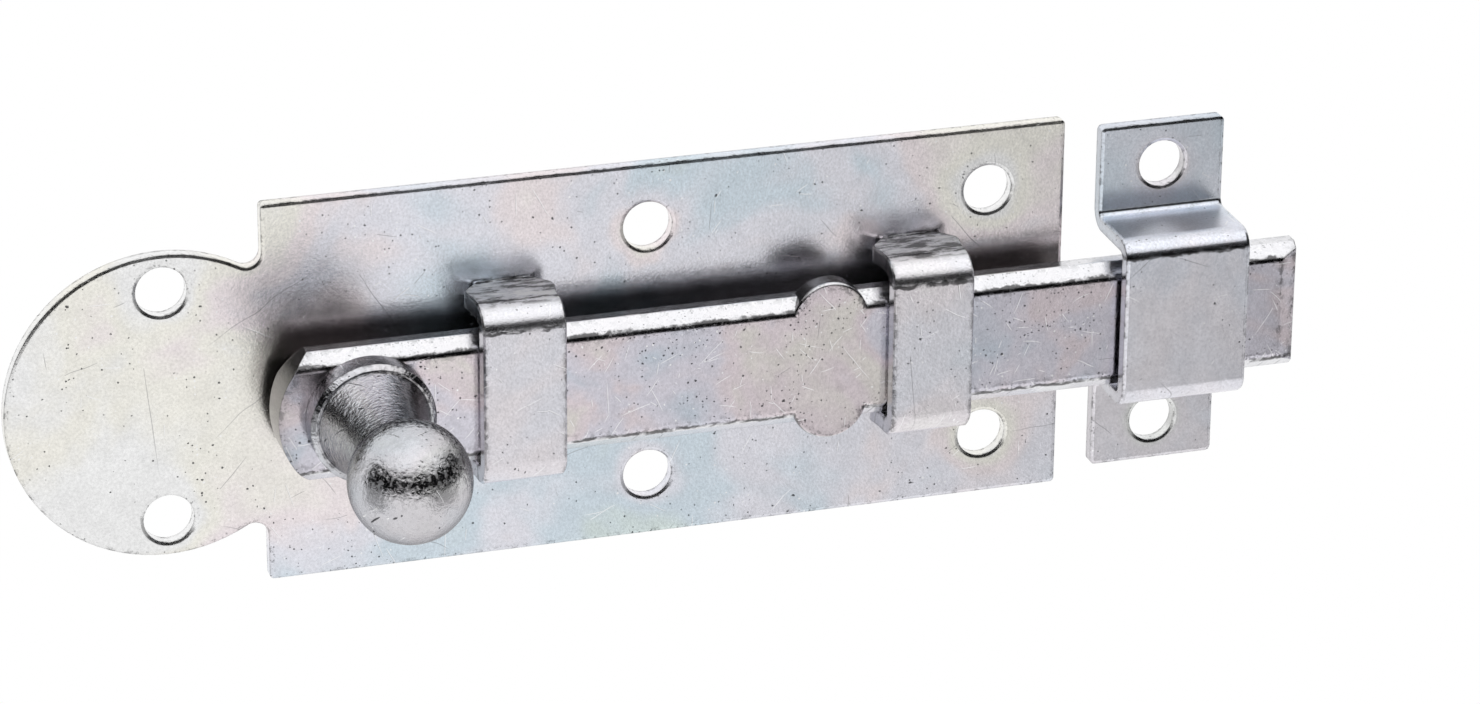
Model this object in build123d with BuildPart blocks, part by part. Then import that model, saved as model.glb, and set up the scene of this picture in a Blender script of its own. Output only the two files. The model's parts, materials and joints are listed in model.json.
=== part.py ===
from build123d import *
import os
from math import sqrt

# Flat slide bolt: a back plate with two keepers, a sliding bar with a ball knob, and a strike.
# Millimetres. +X runs along the bar towards its nose, +Z is up, and the front faces -Y.
# The origin is on the back of the plate, at mid-length on its centre line.

# Punched edges: the punch draws the front of plate and strike down a little
die_roll_width = 0.35
die_roll_depth = 0.15

# Back plate: punched sheet, a rectangle with a round lobe at its left end
plate_length = 120.0
plate_width = 44.0
plate_sheet = 1.5
plate_corner = 0.5
lobe_radius = 17.5
lobe_reach = 11.0  # from the shoulder to the lobe's centre
notch_fillet = 1.6

# Screw holes in the plate
plate_hole = 5.6
lobe_hole_spacing = 26.6
row_spacing = 29.6
column_pitch = 39.4
column_inset = 9.0  # from the plate's right end to the last column

# Sliding bar
bar_length = 117.6
bar_width = 15.0
bar_thickness = 4.5
bar_front_bevel = 1.5
bar_front_edge = 1.5  # radius between the bevel and the front
bar_back_width = 8.4  # the back is narrower, with sloped sides
bar_back_slope = 1.4  # depth of those slopes
bar_edge = 0.2
bar_end_radius = 9.7
nose_bevel_length = 2.0
nose_bevel_depth = 0.8

# Stop ears pressed out of the bar's long edges
ear_radius = 4.3
ear_stand_out = 1.75
ear_thickness = 2.4
ear_edge = 0.35
forward_travel = 3.0  # left before the ears meet the right keeper
stop_gap = 0.3

# Running clearances round the bar, which rests low in the keepers
front_gap = 0.25
rest_gap = 0.25
top_gap = 1.75
rivet_gap = 0.85

# Keepers: bent straps with a tab at each end, riveted over flush behind the plate
keeper_sheet = 2.0
keeper_width = 9.3
keeper_bend = 3.0  # outer radius
keeper_pitch = 46.6
keeper_inset = 18.2  # from the plate's right end to the right keeper's middle
flare_width = 10.4  # the legs widen towards the plate
flare_corner = 1.5
tab_width = 4.2
shoulder_width = 6.4  # the part of the leg's end that sits on the plate
taper_length = 2.3
strap_edge = 0.2
tab_fit = 0.05
tab_recess = 0.1

# Knob: one turned piece, its shank riveted over behind the bar
flange_diameter = 13.9
flange_thickness = 3.0
flange_edge = 0.5
neck_base_diameter = 12.4
neck_tip_diameter = 9.4
neck_hollow = 0.35  # how far the neck curves in from a straight taper
ball_diameter = 13.3
ball_reach = 18.0  # from the bar's front to the ball's centre
knob_setback = 9.85  # from the bar's rounded end to the knob's axis
knob_gap = 1.8  # left between the flange and the left keeper when the bar is fully out
shank_diameter = 6.0
shank_fit = 0.05
rivet_diameter = 8.0
rivet_height = 1.4
rivet_bevel = 0.8

# Strike: bent strap with two feet, which takes the bar's nose
strike_sheet = 1.5
strike_width = 14.7
strike_height = 41.0
strike_bend = 2.3  # outer radius
strike_corner = 0.6
strike_hole = 5.4
strike_hole_inset = 4.9  # from the foot's end to the hole's centre
strike_gap = 4.4  # between the plate and the strike
strike_front_gap = 0.75

# Places along X
plate_right = plate_length / 2
lobe_x = -plate_length / 2 + lobe_radius
shoulder_x = lobe_x + lobe_reach
last_column_x = plate_right - column_inset
middle_column_x = last_column_x - column_pitch
right_keeper_x = plate_right - keeper_inset
left_keeper_x = right_keeper_x - keeper_pitch
knob_x = left_keeper_x - flare_width / 2 - knob_gap - forward_travel - flange_diameter / 2
bar_left = knob_x - knob_setback
nose_x = bar_left + bar_length
strike_x = plate_right + strike_gap + strike_width / 2

# Heights above and below the centre line
room_height = bar_width + rest_gap + top_gap
bar_z = -room_height / 2 + rest_gap + bar_width / 2
keeper_leg_z = (room_height + keeper_sheet) / 2
strike_leg_z = (room_height + strike_sheet) / 2

# Depths in front of the plate's back
bar_back = plate_sheet + rivet_gap + rivet_height
bar_front = bar_back + bar_thickness
keeper_crown = bar_front + front_gap + keeper_sheet / 2
leg_depth = keeper_crown + keeper_sheet / 2 - keeper_bend
strike_crown = bar_front + strike_front_gap + strike_sheet / 2

# The ears stop where their rim meets the inner face of a keeper's lower leg
ear_centre = bar_width / 2 + ear_stand_out - ear_radius
stop_level = room_height / 2 + bar_z - ear_centre
ear_half_chord = sqrt(ear_radius**2 - stop_level**2)
right_stop = right_keeper_x - keeper_width / 2
left_stop = left_keeper_x + keeper_width / 2
ear_x = right_stop - stop_gap - forward_travel - ear_half_chord
backward_travel = ear_x - ear_half_chord - stop_gap - left_stop

os.makedirs("parts", exist_ok=True)


# Back plate
with BuildPart() as back_plate:
    with BuildSketch(Plane.XZ) as plate_outline:
        with Locations(((shoulder_x + plate_right) / 2, 0)):
            Rectangle(plate_right - shoulder_x, plate_width)
        with Locations((lobe_x, 0)):
            Circle(lobe_radius)
        notches = plate_outline.vertices().filter_by(lambda v: abs(v.Y) < lobe_radius)
        fillet(notches, notch_fillet)
        corners = plate_outline.vertices().filter_by(lambda v: abs(v.Y) > plate_width / 2 - plate_corner)
        fillet(corners, plate_corner)
        with Locations((lobe_x, 0)):
            with GridLocations(0, lobe_hole_spacing, 1, 2):
                Circle(plate_hole / 2, mode=Mode.SUBTRACT)
        with Locations(((middle_column_x + last_column_x) / 2, 0)):
            with GridLocations(column_pitch, row_spacing, 2, 2):
                Circle(plate_hole / 2, mode=Mode.SUBTRACT)
        with Locations(((left_keeper_x + right_keeper_x) / 2, 0)):
            with GridLocations(keeper_pitch, 2 * keeper_leg_z, 2, 2):
                Rectangle(tab_width + 2 * tab_fit, keeper_sheet + 2 * tab_fit, mode=Mode.SUBTRACT)
    extrude(amount=plate_sheet)
    plate_front = back_plate.faces().sort_by(Axis.Y)[0]
    rims = plate_front.edges().filter_by(GeomType.CIRCLE).filter_by(lambda e: e.is_closed)
    punched = plate_front.outer_wire().edges() + rims
    chamfer(punched, die_roll_width, die_roll_depth, reference=plate_front)
back_plate.part.label = "back_plate"
export_step(back_plate.part, "parts/back_plate.step")


# Keepers: the bent section cut to the strap's outline, with flared legs, tapered shoulders and a tab
for keeper_name, keeper_x in (("left_keeper", left_keeper_x), ("right_keeper", right_keeper_x)):
    with BuildPart() as keeper:
        with BuildSketch(Plane.YZ.offset(keeper_x)):
            with BuildLine():
                FilletPolyline(
                    (-tab_recess, keeper_leg_z),
                    (-keeper_crown, keeper_leg_z),
                    (-keeper_crown, -keeper_leg_z),
                    (-tab_recess, -keeper_leg_z),
                    radius=keeper_bend - keeper_sheet / 2,
                )
            trace(line_width=keeper_sheet)
        extrude(amount=flare_width / 2, both=True)
        with BuildSketch(Plane.XY) as strap_outline:
            with BuildLine():
                Polyline(
                    (keeper_x, -keeper_crown - keeper_sheet),
                    (keeper_x + keeper_width / 2, -keeper_crown - keeper_sheet),
                    (keeper_x + keeper_width / 2, -leg_depth),
                )
                flare = TangentArc(
                    (keeper_x + keeper_width / 2, -leg_depth),
                    (keeper_x + flare_width / 2, -plate_sheet - taper_length),
                    tangent=(0, 1),
                )
                Polyline(
                    flare @ 1,
                    (keeper_x + shoulder_width / 2, -plate_sheet),
                    (keeper_x + tab_width / 2, -plate_sheet),
                    (keeper_x + tab_width / 2, 0),
                    (keeper_x, 0),
                )
                mirror(about=Plane.YZ.offset(keeper_x))
            make_face()
            by_place = strap_outline.vertices().group_by(Axis.X)
            fillet(by_place[0] + by_place[-1], flare_corner)
        extrude(amount=room_height, both=True, mode=Mode.INTERSECT)
        strap_edges = keeper.edges().filter_by(Axis.Z).filter_by(lambda e: e.length > keeper_sheet)
        chamfer(strap_edges, strap_edge)
    keeper.part.label = keeper_name
    export_step(keeper.part, f"parts/{keeper_name}.step")


# Stop ears: discs with a rounded front rim, sunk in the bar so that only their outer part stands out
with BuildPart() as ears:
    with BuildSketch(Plane.XZ.offset(bar_front - ear_thickness)):
        with Locations((ear_x, bar_z)):
            with GridLocations(0, 2 * ear_centre, 1, 2):
                Circle(ear_radius)
    extrude(amount=ear_thickness)
    fillet(ears.edges().group_by(Axis.Y)[0], ear_edge)


# Sliding bar: the rolled section, its end rounded in outline, with ears, nose bevel and knob hole
with BuildPart() as slide_bolt:
    with BuildSketch(Plane((bar_left, 0, bar_z), x_dir=(0, 1, 0), z_dir=(1, 0, 0))) as bar_section:
        with BuildLine():
            Polyline(
                (-bar_back, -bar_back_width / 2),
                (-bar_back - bar_back_slope, -bar_width / 2),
                (-bar_front + bar_front_bevel, -bar_width / 2),
                (-bar_front, -bar_width / 2 + bar_front_bevel),
                (-bar_front, bar_width / 2 - bar_front_bevel),
                (-bar_front + bar_front_bevel, bar_width / 2),
                (-bar_back - bar_back_slope, bar_width / 2),
                (-bar_back, bar_back_width / 2),
                close=True,
            )
        make_face()
        side_corners = bar_section.vertices().filter_by(lambda v: abs(v.Y) > bar_width / 2 - bar_edge)
        fillet(side_corners + bar_section.vertices().group_by(Axis.X)[-1], bar_edge)
        fillet(bar_section.vertices().group_by(Axis.X)[0], bar_front_edge)
    extrude(amount=bar_length)
    with BuildSketch(Plane.XY):
        with BuildLine():
            Polyline(
                (nose_x - 2 * nose_bevel_length, -bar_front - nose_bevel_depth),
                (nose_x + nose_bevel_length, -bar_front + 2 * nose_bevel_depth),
                (nose_x + nose_bevel_length, -bar_front - nose_bevel_depth),
                close=True,
            )
        make_face()
    extrude(amount=bar_width, both=True, mode=Mode.SUBTRACT)
    with BuildSketch(Plane.XZ):
        with Locations((bar_left + bar_end_radius, bar_z)):
            Circle(bar_end_radius)
            Rectangle(bar_length, 2 * bar_end_radius, align=(Align.MIN, Align.CENTER))
    extrude(amount=2 * bar_front, mode=Mode.INTERSECT)
    add(ears.part)
    with BuildSketch(Plane.XZ):
        with Locations((knob_x, bar_z)):
            Circle(shank_diameter / 2 + shank_fit)
    extrude(amount=2 * bar_front, mode=Mode.SUBTRACT)
slide_bolt.part.label = "slide_bolt"
export_step(slide_bolt.part, "parts/slide_bolt.step")


# Knob: turned about an axis that stands out of the bar's front
knob_seat = Vector(knob_x, -bar_front, bar_z)
neck_end = ball_reach - sqrt((ball_diameter / 2) ** 2 - (neck_tip_diameter / 2) ** 2)
with BuildPart() as knob:
    with BuildSketch(Plane(knob_seat, x_dir=(1, 0, 0), z_dir=(0, 0, -1))) as turned:
        with BuildLine():
            Polyline(
                (0, -bar_thickness - rivet_height),
                (rivet_diameter / 2, -bar_thickness - rivet_height),
                (rivet_diameter / 2, -bar_thickness),
                (shank_diameter / 2, -bar_thickness),
                (shank_diameter / 2, 0),
                (flange_diameter / 2, 0),
                (flange_diameter / 2, flange_thickness),
                (neck_base_diameter / 2, flange_thickness),
            )
            SagittaArc(
                (neck_base_diameter / 2, flange_thickness),
                (neck_tip_diameter / 2, neck_end),
                neck_hollow,
            )
            ThreePointArc(
                (neck_tip_diameter / 2, neck_end),
                (ball_diameter / 2, ball_reach),
                (0, ball_reach + ball_diameter / 2),
            )
            Line((0, ball_reach + ball_diameter / 2), (0, -bar_thickness - rivet_height))
        make_face()
        chamfer(turned.vertices().group_by(Axis.X)[-1].sort_by(Axis.Y)[-1], flange_edge)
        rivet_rim = turned.vertices().group_by(Axis.Y)[0].sort_by(Axis.X)[-1]
        chamfer(rivet_rim, rivet_bevel)
    revolve(axis=Axis(knob_seat, (0, -1, 0)))
knob.part.label = "knob"
export_step(knob.part, "parts/knob.step")


# Strike: a hat section, its feet on the same surface as the plate
with BuildPart() as strike:
    with BuildSketch(Plane.YZ.offset(strike_x)):
        with BuildLine():
            FilletPolyline(
                (-strike_sheet / 2, strike_height / 2),
                (-strike_sheet / 2, strike_leg_z),
                (-strike_crown, strike_leg_z),
                (-strike_crown, -strike_leg_z),
                (-strike_sheet / 2, -strike_leg_z),
                (-strike_sheet / 2, -strike_height / 2),
                radius=strike_bend - strike_sheet / 2,
            )
        trace(line_width=strike_sheet)
    extrude(amount=strike_width / 2, both=True)
    fillet(strike.edges().filter_by(Axis.Y).group_by(Axis.Z)[0], strike_corner)
    fillet(strike.edges().filter_by(Axis.Y).group_by(Axis.Z)[-1], strike_corner)
    with BuildSketch(Plane.XZ):
        with Locations((strike_x, 0)):
            with GridLocations(0, strike_height - 2 * strike_hole_inset, 1, 2):
                Circle(strike_hole / 2)
    extrude(amount=strike_sheet, both=True, mode=Mode.SUBTRACT)
    strike_front = strike.faces().filter_by(Axis.Y).sort_by(Axis.Y)[0]
    front_sides = strike_front.edges().filter_by(Axis.Z)
    chamfer(front_sides, die_roll_width, die_roll_depth, reference=strike_front)
    feet = strike.faces().filter_by(Axis.Y).group_by(Axis.Y)[-2]
    for foot in feet:
        rim = foot.edges().filter_by(GeomType.CIRCLE).filter_by(lambda e: e.is_closed)
        chamfer(rim, die_roll_width, die_roll_depth, reference=foot)
strike.part.label = "strike"
export_step(strike.part, "parts/strike.step")

print(f"travel: {forward_travel:.2f} mm out, {backward_travel:.2f} mm back")
print(f"bar front {bar_front:.2f}, keeper front {keeper_crown + keeper_sheet / 2:.2f}, "
      f"strike front {strike_crown + strike_sheet / 2:.2f}")
print(f"bar from {bar_left:.2f} to {nose_x:.2f}, knob axis at {knob_x:.2f}, ears at {ear_x:.2f}")
print(f"keepers at {left_keeper_x:.2f} and {right_keeper_x:.2f}, strike at {strike_x:.2f}")
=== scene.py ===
# %% [markdown]
# # A zinc-plated slide bolt, dressed for a studio picture
#
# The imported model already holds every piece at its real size: a punched back plate, two bent keepers, a
# sliding bar, a turned knob and a loose strike. This lesson gives those pieces the surface of the real
# thing and a small studio to stand in. Everything is in metres, in the model's own frame: +X runs along
# the bar, +Z is up and the front faces -Y.
#
# A start file in Blender holds a cube, a lamp and a camera. They could be hidden, but an empty scene is
# simpler to reason about, so they go first, and the box that is measured next is the box of the bolt
# alone.

# %% Load the frame
import json
import math

import bmesh
import bpy
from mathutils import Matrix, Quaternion, Vector

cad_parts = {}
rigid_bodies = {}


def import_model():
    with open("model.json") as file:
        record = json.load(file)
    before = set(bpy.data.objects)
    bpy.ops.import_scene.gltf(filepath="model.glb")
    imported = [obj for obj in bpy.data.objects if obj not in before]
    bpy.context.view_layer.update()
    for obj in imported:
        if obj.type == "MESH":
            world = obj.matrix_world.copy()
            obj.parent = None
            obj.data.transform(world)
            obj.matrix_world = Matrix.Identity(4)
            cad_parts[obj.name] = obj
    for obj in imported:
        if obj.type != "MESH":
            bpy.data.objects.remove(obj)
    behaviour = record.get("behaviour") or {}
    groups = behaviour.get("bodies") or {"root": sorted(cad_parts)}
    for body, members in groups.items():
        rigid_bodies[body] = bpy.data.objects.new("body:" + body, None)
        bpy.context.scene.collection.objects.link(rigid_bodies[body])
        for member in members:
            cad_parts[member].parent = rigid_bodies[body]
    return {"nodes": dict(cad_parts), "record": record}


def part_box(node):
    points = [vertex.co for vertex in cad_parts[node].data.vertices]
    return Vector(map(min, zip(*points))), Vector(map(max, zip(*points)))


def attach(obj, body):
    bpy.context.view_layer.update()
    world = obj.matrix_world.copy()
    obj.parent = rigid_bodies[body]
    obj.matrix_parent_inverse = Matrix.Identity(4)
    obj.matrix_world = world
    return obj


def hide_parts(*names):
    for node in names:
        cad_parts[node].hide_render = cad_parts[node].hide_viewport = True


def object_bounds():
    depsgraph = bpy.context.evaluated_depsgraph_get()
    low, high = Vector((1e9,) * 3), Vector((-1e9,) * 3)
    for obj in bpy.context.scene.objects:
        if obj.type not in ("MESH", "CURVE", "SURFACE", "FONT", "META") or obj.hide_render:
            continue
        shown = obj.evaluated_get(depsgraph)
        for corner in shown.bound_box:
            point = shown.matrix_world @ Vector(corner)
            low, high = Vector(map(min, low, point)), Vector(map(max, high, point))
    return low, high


for start_object in list(bpy.data.objects):
    bpy.data.objects.remove(start_object)

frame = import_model()
cad_low, cad_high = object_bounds()
nodes = frame["nodes"]
MM = 0.001

print("pieces:", ", ".join(sorted(nodes)))
print("box in mm:", [round(side / MM, 1) for side in cad_high - cad_low])

# %% [markdown]
# ## Places that the looks depend on
#
# Some finishes follow the shape: a tint spreads round each screw hole, and the keepers have a mark where
# they were bent. The places could be typed in again, but then they would go wrong when the model changes.
# The boxes of the pieces and the record's own list of screw holes give them instead.

# %% Read places from the frame
bar_low, bar_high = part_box("slide_bolt")
knob_low, knob_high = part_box("knob")
keeper_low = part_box("left_keeper")[0]
mounts = {mount["name"]: mount for mount in frame["record"]["mounts"]}


def hole_centres(mount_name):
    """Centres of one mount's screw holes, from its middle and its spacings."""
    middle = Vector(mounts[mount_name]["pos_m"])
    dims = mounts[mount_name]["dims"]
    half_x = dims.get("spacing_x_mm", 0.0) / 2 * MM
    half_z = dims["spacing_y_mm"] / 2 * MM
    sides = (-1, 1) if half_x else (0,)
    return [middle + Vector((side * half_x, 0, up * half_z)) for side in sides for up in (-1, 1)]


plate_holes = hole_centres("lobe_screws") + hole_centres("plate_screws")
strike_holes = hole_centres("strike_screws")
plate_hole_radius = mounts["plate_screws"]["dims"]["hole_r_mm"] * MM
strike_hole_radius = mounts["strike_screws"]["dims"]["hole_r_mm"] * MM
print("holes:", len(plate_holes), "in the plate,", len(strike_holes), "in the strike")

# %% [markdown]
# ## The camera
#
# The picture looks at the bolt from the left and from above, through a long lens, so that its straight
# edges stay nearly parallel. A camera could be aimed by eye, but angles, a distance and a lens are easier
# to check and to change. They were found by fitting the corners and holes of the plate, the ball and the
# strike. The picture leans by half a degree, so the camera is rolled a little about its own axis.

# %% Camera
view_azimuth = math.radians(17.73)
view_elevation = math.radians(23.05)
view_roll = math.radians(0.50)
view_distance = 0.6139
view_lens = 134.75
aim_point = Vector((22.27, -1.5, -1.42)) * MM

toward_eye = Vector((
    -math.sin(view_azimuth) * math.cos(view_elevation),
    -math.cos(view_azimuth) * math.cos(view_elevation),
    math.sin(view_elevation),
))
camera_data = bpy.data.cameras.new("studio_camera")
camera_data.lens = view_lens
camera_data.sensor_width = 36.0
camera_data.sensor_fit = "HORIZONTAL"
camera_data.clip_start = 0.01
camera_data.clip_end = 50.0
camera = bpy.data.objects.new("studio_camera", camera_data)
bpy.context.scene.collection.objects.link(camera)
camera.rotation_mode = "QUATERNION"
camera.rotation_quaternion = toward_eye.to_track_quat("Z", "Y") @ Quaternion((0, 0, 1), view_roll)
camera.location = aim_point + toward_eye * view_distance
bpy.context.scene.camera = camera
bpy.context.scene.view_settings.view_transform = "Standard"
print("camera at", [round(v / MM) for v in camera.location], "mm, lens", camera_data.lens, "mm")

# %% [markdown]
# ## Helpers for node trees
#
# Every material, every shader group and the lathe below are built from nodes in code. A few short helpers
# keep that readable: one adds a node with its settings, one joins two sockets, one feeds an input with a
# number or a socket, one starts a group with named sockets, one writes a sum with sockets as easily as
# with numbers, and one says how large a finished group is.

# %% Node helpers
noise_middle = 0.5  # a Noise texture swings about this value


def add_node(tree, kind, values=None, **settings):
    """Adds a node, sets its properties, then its input values by socket name or number."""
    node = tree.nodes.new(kind)
    for key, value in settings.items():
        setattr(node, key, value)
    for key, value in (values or {}).items():
        node.inputs[key].default_value = value
    return node


def join(tree, source, target):
    """Links an output socket to an input socket."""
    tree.links.new(source, target)


def feed(tree, target, value):
    """Sets an input to a number, or links it to a socket."""
    if isinstance(value, (int, float)):
        target.default_value = value
    else:
        join(tree, value, target)


def start_group(name, inputs, outputs, kind="ShaderNodeTree"):
    """A node group whose inputs are (name, type, default) and outputs are (name, type)."""
    group = bpy.data.node_groups.new(name, kind)
    for socket_name, socket_kind, default in inputs:
        socket = group.interface.new_socket(
            name=socket_name, in_out="INPUT", socket_type="NodeSocket" + socket_kind)
        if default is not None:
            socket.default_value = default
    for socket_name, socket_kind in outputs:
        group.interface.new_socket(name=socket_name, in_out="OUTPUT", socket_type="NodeSocket" + socket_kind)
    return group, group.nodes.new("NodeGroupInput").outputs, group.nodes.new("NodeGroupOutput").inputs


def place_group(tree, group, values=None):
    """Puts a shader group into a material's tree."""
    node = tree.nodes.new("ShaderNodeGroup")
    node.node_tree = group
    for key, value in (values or {}).items():
        node.inputs[key].default_value = value
    return node


def calc(tree, operation, first, second=0.0, clamp=False):
    """A Math node on two sockets or numbers, given back as its output socket."""
    node = add_node(tree, "ShaderNodeMath", operation=operation, use_clamp=clamp)
    for index, value in enumerate((first, second)):
        feed(tree, node.inputs[index], value)
    return node.outputs[0]


def remap(tree, value, from_low, from_high, to_low=0.0, to_high=1.0):
    """A clamped Map Range node on one socket, given back as its output socket."""
    node = add_node(tree, "ShaderNodeMapRange")
    join(tree, value, node.inputs["Value"])
    limits = {"From Min": from_low, "From Max": from_high, "To Min": to_low, "To Max": to_high}
    for key, limit in limits.items():
        feed(tree, node.inputs[key], limit)
    return node.outputs["Result"]


def noise(tree, place, scale, detail=2.0, rough=0.5, seed=None, distortion=0.0):
    """A Noise texture on a place, with an optional seed, given back as the node."""
    values = {"Detail": detail, "Roughness": rough, "Distortion": distortion}
    dimensions = "3D" if seed is None else "4D"
    node = add_node(tree, "ShaderNodeTexNoise", values, noise_dimensions=dimensions)
    join(tree, place, node.inputs["Vector"])
    feed(tree, node.inputs["Scale"], scale)
    if seed is not None:
        feed(tree, node.inputs["W"], seed)
    return node


def report_group(group):
    """Prints how large a finished group is."""
    print(f"{group.name}: {len(group.nodes)} nodes, {len(group.links)} links")


# %% [markdown]
# ## The studio: floor and backdrop
#
# Bright metal has hardly any colour of its own: it shows the room. The room here is a white one. The
# floor lies well below the bolt, which is meant to hang on a door, so no shadow reaches it. It could be
# lit until it turns white, but that would burn out the metal too. The camera and mirror rays see plain
# white instead, by way of Light Path, and all other rays see an ordinary pale floor. The world does the
# same for everything above it.

# %% Floor and world
floor_drop = 0.5
floor_half = 6.0
white = (1.0, 1.0, 1.0, 1.0)
pale = (0.8, 0.8, 0.8, 1.0)
world_fill = 0.6


def sees_white(tree):
    """1 for camera, mirror and see-through rays, else 0."""
    path = add_node(tree, "ShaderNodeLightPath").outputs
    seen = calc(tree, "MAXIMUM", path["Is Camera Ray"], path["Is Glossy Ray"])
    return calc(tree, "MAXIMUM", seen, path["Is Transmission Ray"])


def white_to_the_eye(tree, plain, glow, output):
    """Joins a plain surface and a white one to a tree's output, by the kind of ray."""
    by_ray = add_node(tree, "ShaderNodeMixShader")
    join(tree, sees_white(tree), by_ray.inputs[0])
    join(tree, plain.outputs[0], by_ray.inputs[1])
    join(tree, glow.outputs[0], by_ray.inputs[2])
    join(tree, by_ray.outputs[0], output.inputs["Surface"])


floor_mesh = bpy.data.meshes.new("floor")
floor_shape = bmesh.new()
bmesh.ops.create_grid(floor_shape, x_segments=1, y_segments=1, size=floor_half)
bmesh.ops.translate(floor_shape, verts=floor_shape.verts, vec=(0, 0, cad_low.z - floor_drop))
floor_shape.to_mesh(floor_mesh)
floor_shape.free()
floor = bpy.data.objects.new("floor", floor_mesh)
bpy.context.scene.collection.objects.link(floor)

floor_material = bpy.data.materials.new("studio_floor")
floor_material.use_nodes = True
tree = floor_material.node_tree
tree.nodes.clear()
white_to_the_eye(tree, add_node(tree, "ShaderNodeBsdfDiffuse", {"Color": pale}),
                 add_node(tree, "ShaderNodeEmission", {"Color": white, "Strength": 1.0}),
                 add_node(tree, "ShaderNodeOutputMaterial"))
floor_mesh.materials.append(floor_material)

world = bpy.data.worlds.new("studio")
bpy.context.scene.world = world
world.use_nodes = True
tree = world.node_tree
tree.nodes.clear()
white_to_the_eye(tree, add_node(tree, "ShaderNodeBackground", {"Color": white, "Strength": world_fill}),
                 add_node(tree, "ShaderNodeBackground", {"Color": white, "Strength": 1.0}),
                 add_node(tree, "ShaderNodeOutputWorld"))
print("floor", round(floor_drop / MM), "mm below the bolt")

# %% [markdown]
# ## The studio: dark cloth and a soft lamp
#
# In an all-white room bright metal looks like paper. A photographer hangs dark cloth where the bends and
# the ball should turn black, because a dark line beside a bright one is what makes metal read as metal.
# One curved cloth stands in front from just under the horizon to about thirty-four degrees up: the bends,
# the ball and the gap above the bar mirror it. A gauze at the right, which starts as nothing and
# thickens, makes the far end of the bolt a little darker without drawing an edge on the ball. Another one
# at the left shades the bar's rounded end and the left of the neck. A wide soft lamp overhead lifts the
# streak along the bar's upper bevel. The cloths are stage pieces that mirror rays can see and the camera
# can't, so they never stand in the picture.

# %% Dark cloths
cloth_black = (0.012, 0.012, 0.013, 1.0)
cloth_material = bpy.data.materials.new("dark_cloth")
cloth_material.use_nodes = True
tree = cloth_material.node_tree
tree.nodes.clear()
weave = add_node(tree, "ShaderNodeMixShader")
join(tree, add_node(tree, "ShaderNodeAttribute", attribute_name="weave").outputs["Fac"], weave.inputs[0])
join(tree, add_node(tree, "ShaderNodeBsdfTransparent").outputs[0], weave.inputs[1])
dark = add_node(tree, "ShaderNodeBsdfDiffuse", {"Color": cloth_black})
join(tree, dark.outputs[0], weave.inputs[2])
join(tree, weave.outputs[0], add_node(tree, "ShaderNodeOutputMaterial").inputs["Surface"])


def curved_cloth(name, radius, low, high, weaves, steps=60):
    """A strip of a cylinder. Weaves are (degrees, closeness), counted from the front towards +X."""
    mesh = bpy.data.meshes.new(name)
    points = []
    closeness = []
    for step in range(steps + 1):
        degrees = weaves[0][0] + (weaves[-1][0] - weaves[0][0]) * step / steps
        x = radius * math.sin(math.radians(degrees))
        y = -radius * math.cos(math.radians(degrees))
        points += [(x, y, low), (x, y, high)]
        for (start, thin), (end, thick) in zip(weaves, weaves[1:]):
            if start <= degrees <= end:
                value = thin + (thick - thin) * (degrees - start) / (end - start)
        closeness += [value, value]
    faces = [(2 * step, 2 * step + 2, 2 * step + 3, 2 * step + 1) for step in range(steps)]
    mesh.from_pydata(points, [], faces)
    mesh.attributes.new("weave", "FLOAT", "POINT").data.foreach_set("value", closeness)
    mesh.materials.append(cloth_material)
    cloth = bpy.data.objects.new(name, mesh)
    bpy.context.scene.collection.objects.link(cloth)
    cloth.visible_camera = False


front_radius = 1.5
front_low_angle = math.radians(-1.0)
front_high_angle = math.radians(34.0)
front_low = front_radius * math.tan(front_low_angle)
front_high = front_radius * math.tan(front_high_angle)
front_weaves = [(-105, 1.0), (105, 1.0)]
curved_cloth("front_cloth", front_radius, front_low, front_high, front_weaves)
gauze_radius = 0.9
gauze_low = cad_low.z - floor_drop
gauze_high = -0.02
right_weaves = [(13, 0.0), (22, 0.28), (32, 0.55), (60, 0.55), (85, 0.0)]
left_weaves = [(-110, 0.0), (-90, 0.6), (-66, 0.6), (-48, 0.0)]
curved_cloth("right_gauze", gauze_radius, gauze_low, gauze_high, right_weaves)
curved_cloth("left_gauze", gauze_radius, gauze_low, gauze_high, left_weaves)
print("front cloth from", round(front_low, 2), "to", round(front_high, 2), "m high")
print("gauzes", gauze_radius, "m away")

# %% Lamp
lamp_width = 1.5
lamp_depth = 0.9
lamp_height = 1.1
lamp_forward = 0.35
lamp_glow = 0.18  # what the lamp adds to the white behind it
watts_for_glow = 4.0  # for each square metre of lamp

lamp_data = bpy.data.lights.new("overhead_lamp", "AREA")
lamp_data.shape = "RECTANGLE"
lamp_data.size = lamp_width
lamp_data.size_y = lamp_depth
lamp_data.energy = watts_for_glow * lamp_glow * lamp_width * lamp_depth
lamp = bpy.data.objects.new("overhead_lamp", lamp_data)
lamp.location = (0.0, -lamp_forward, lamp_height)
lamp.rotation_mode = "QUATERNION"
lamp.rotation_quaternion = lamp.location.to_track_quat("Z", "Y")
bpy.context.scene.collection.objects.link(lamp)
print("lamp of", round(lamp_data.energy, 1), "W over", round(lamp_width * lamp_depth, 2), "square metres")

# %% [markdown]
# ## Shared effects: the plating's film
#
# Zinc plating is closed with a thin clear film. Where the film is a little thicker, light bounces inside
# it and takes on a tint, as oil does on water, and the tints always follow in the same order: straw,
# rose, violet, blue, green. Patches of colour could be painted at random, but then blue would sit beside
# straw as often as beside violet. One group therefore makes the film's thickness from soft noise, and
# another turns thickness into tint, so that the colours lie beside each other as on the real plating.

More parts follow.
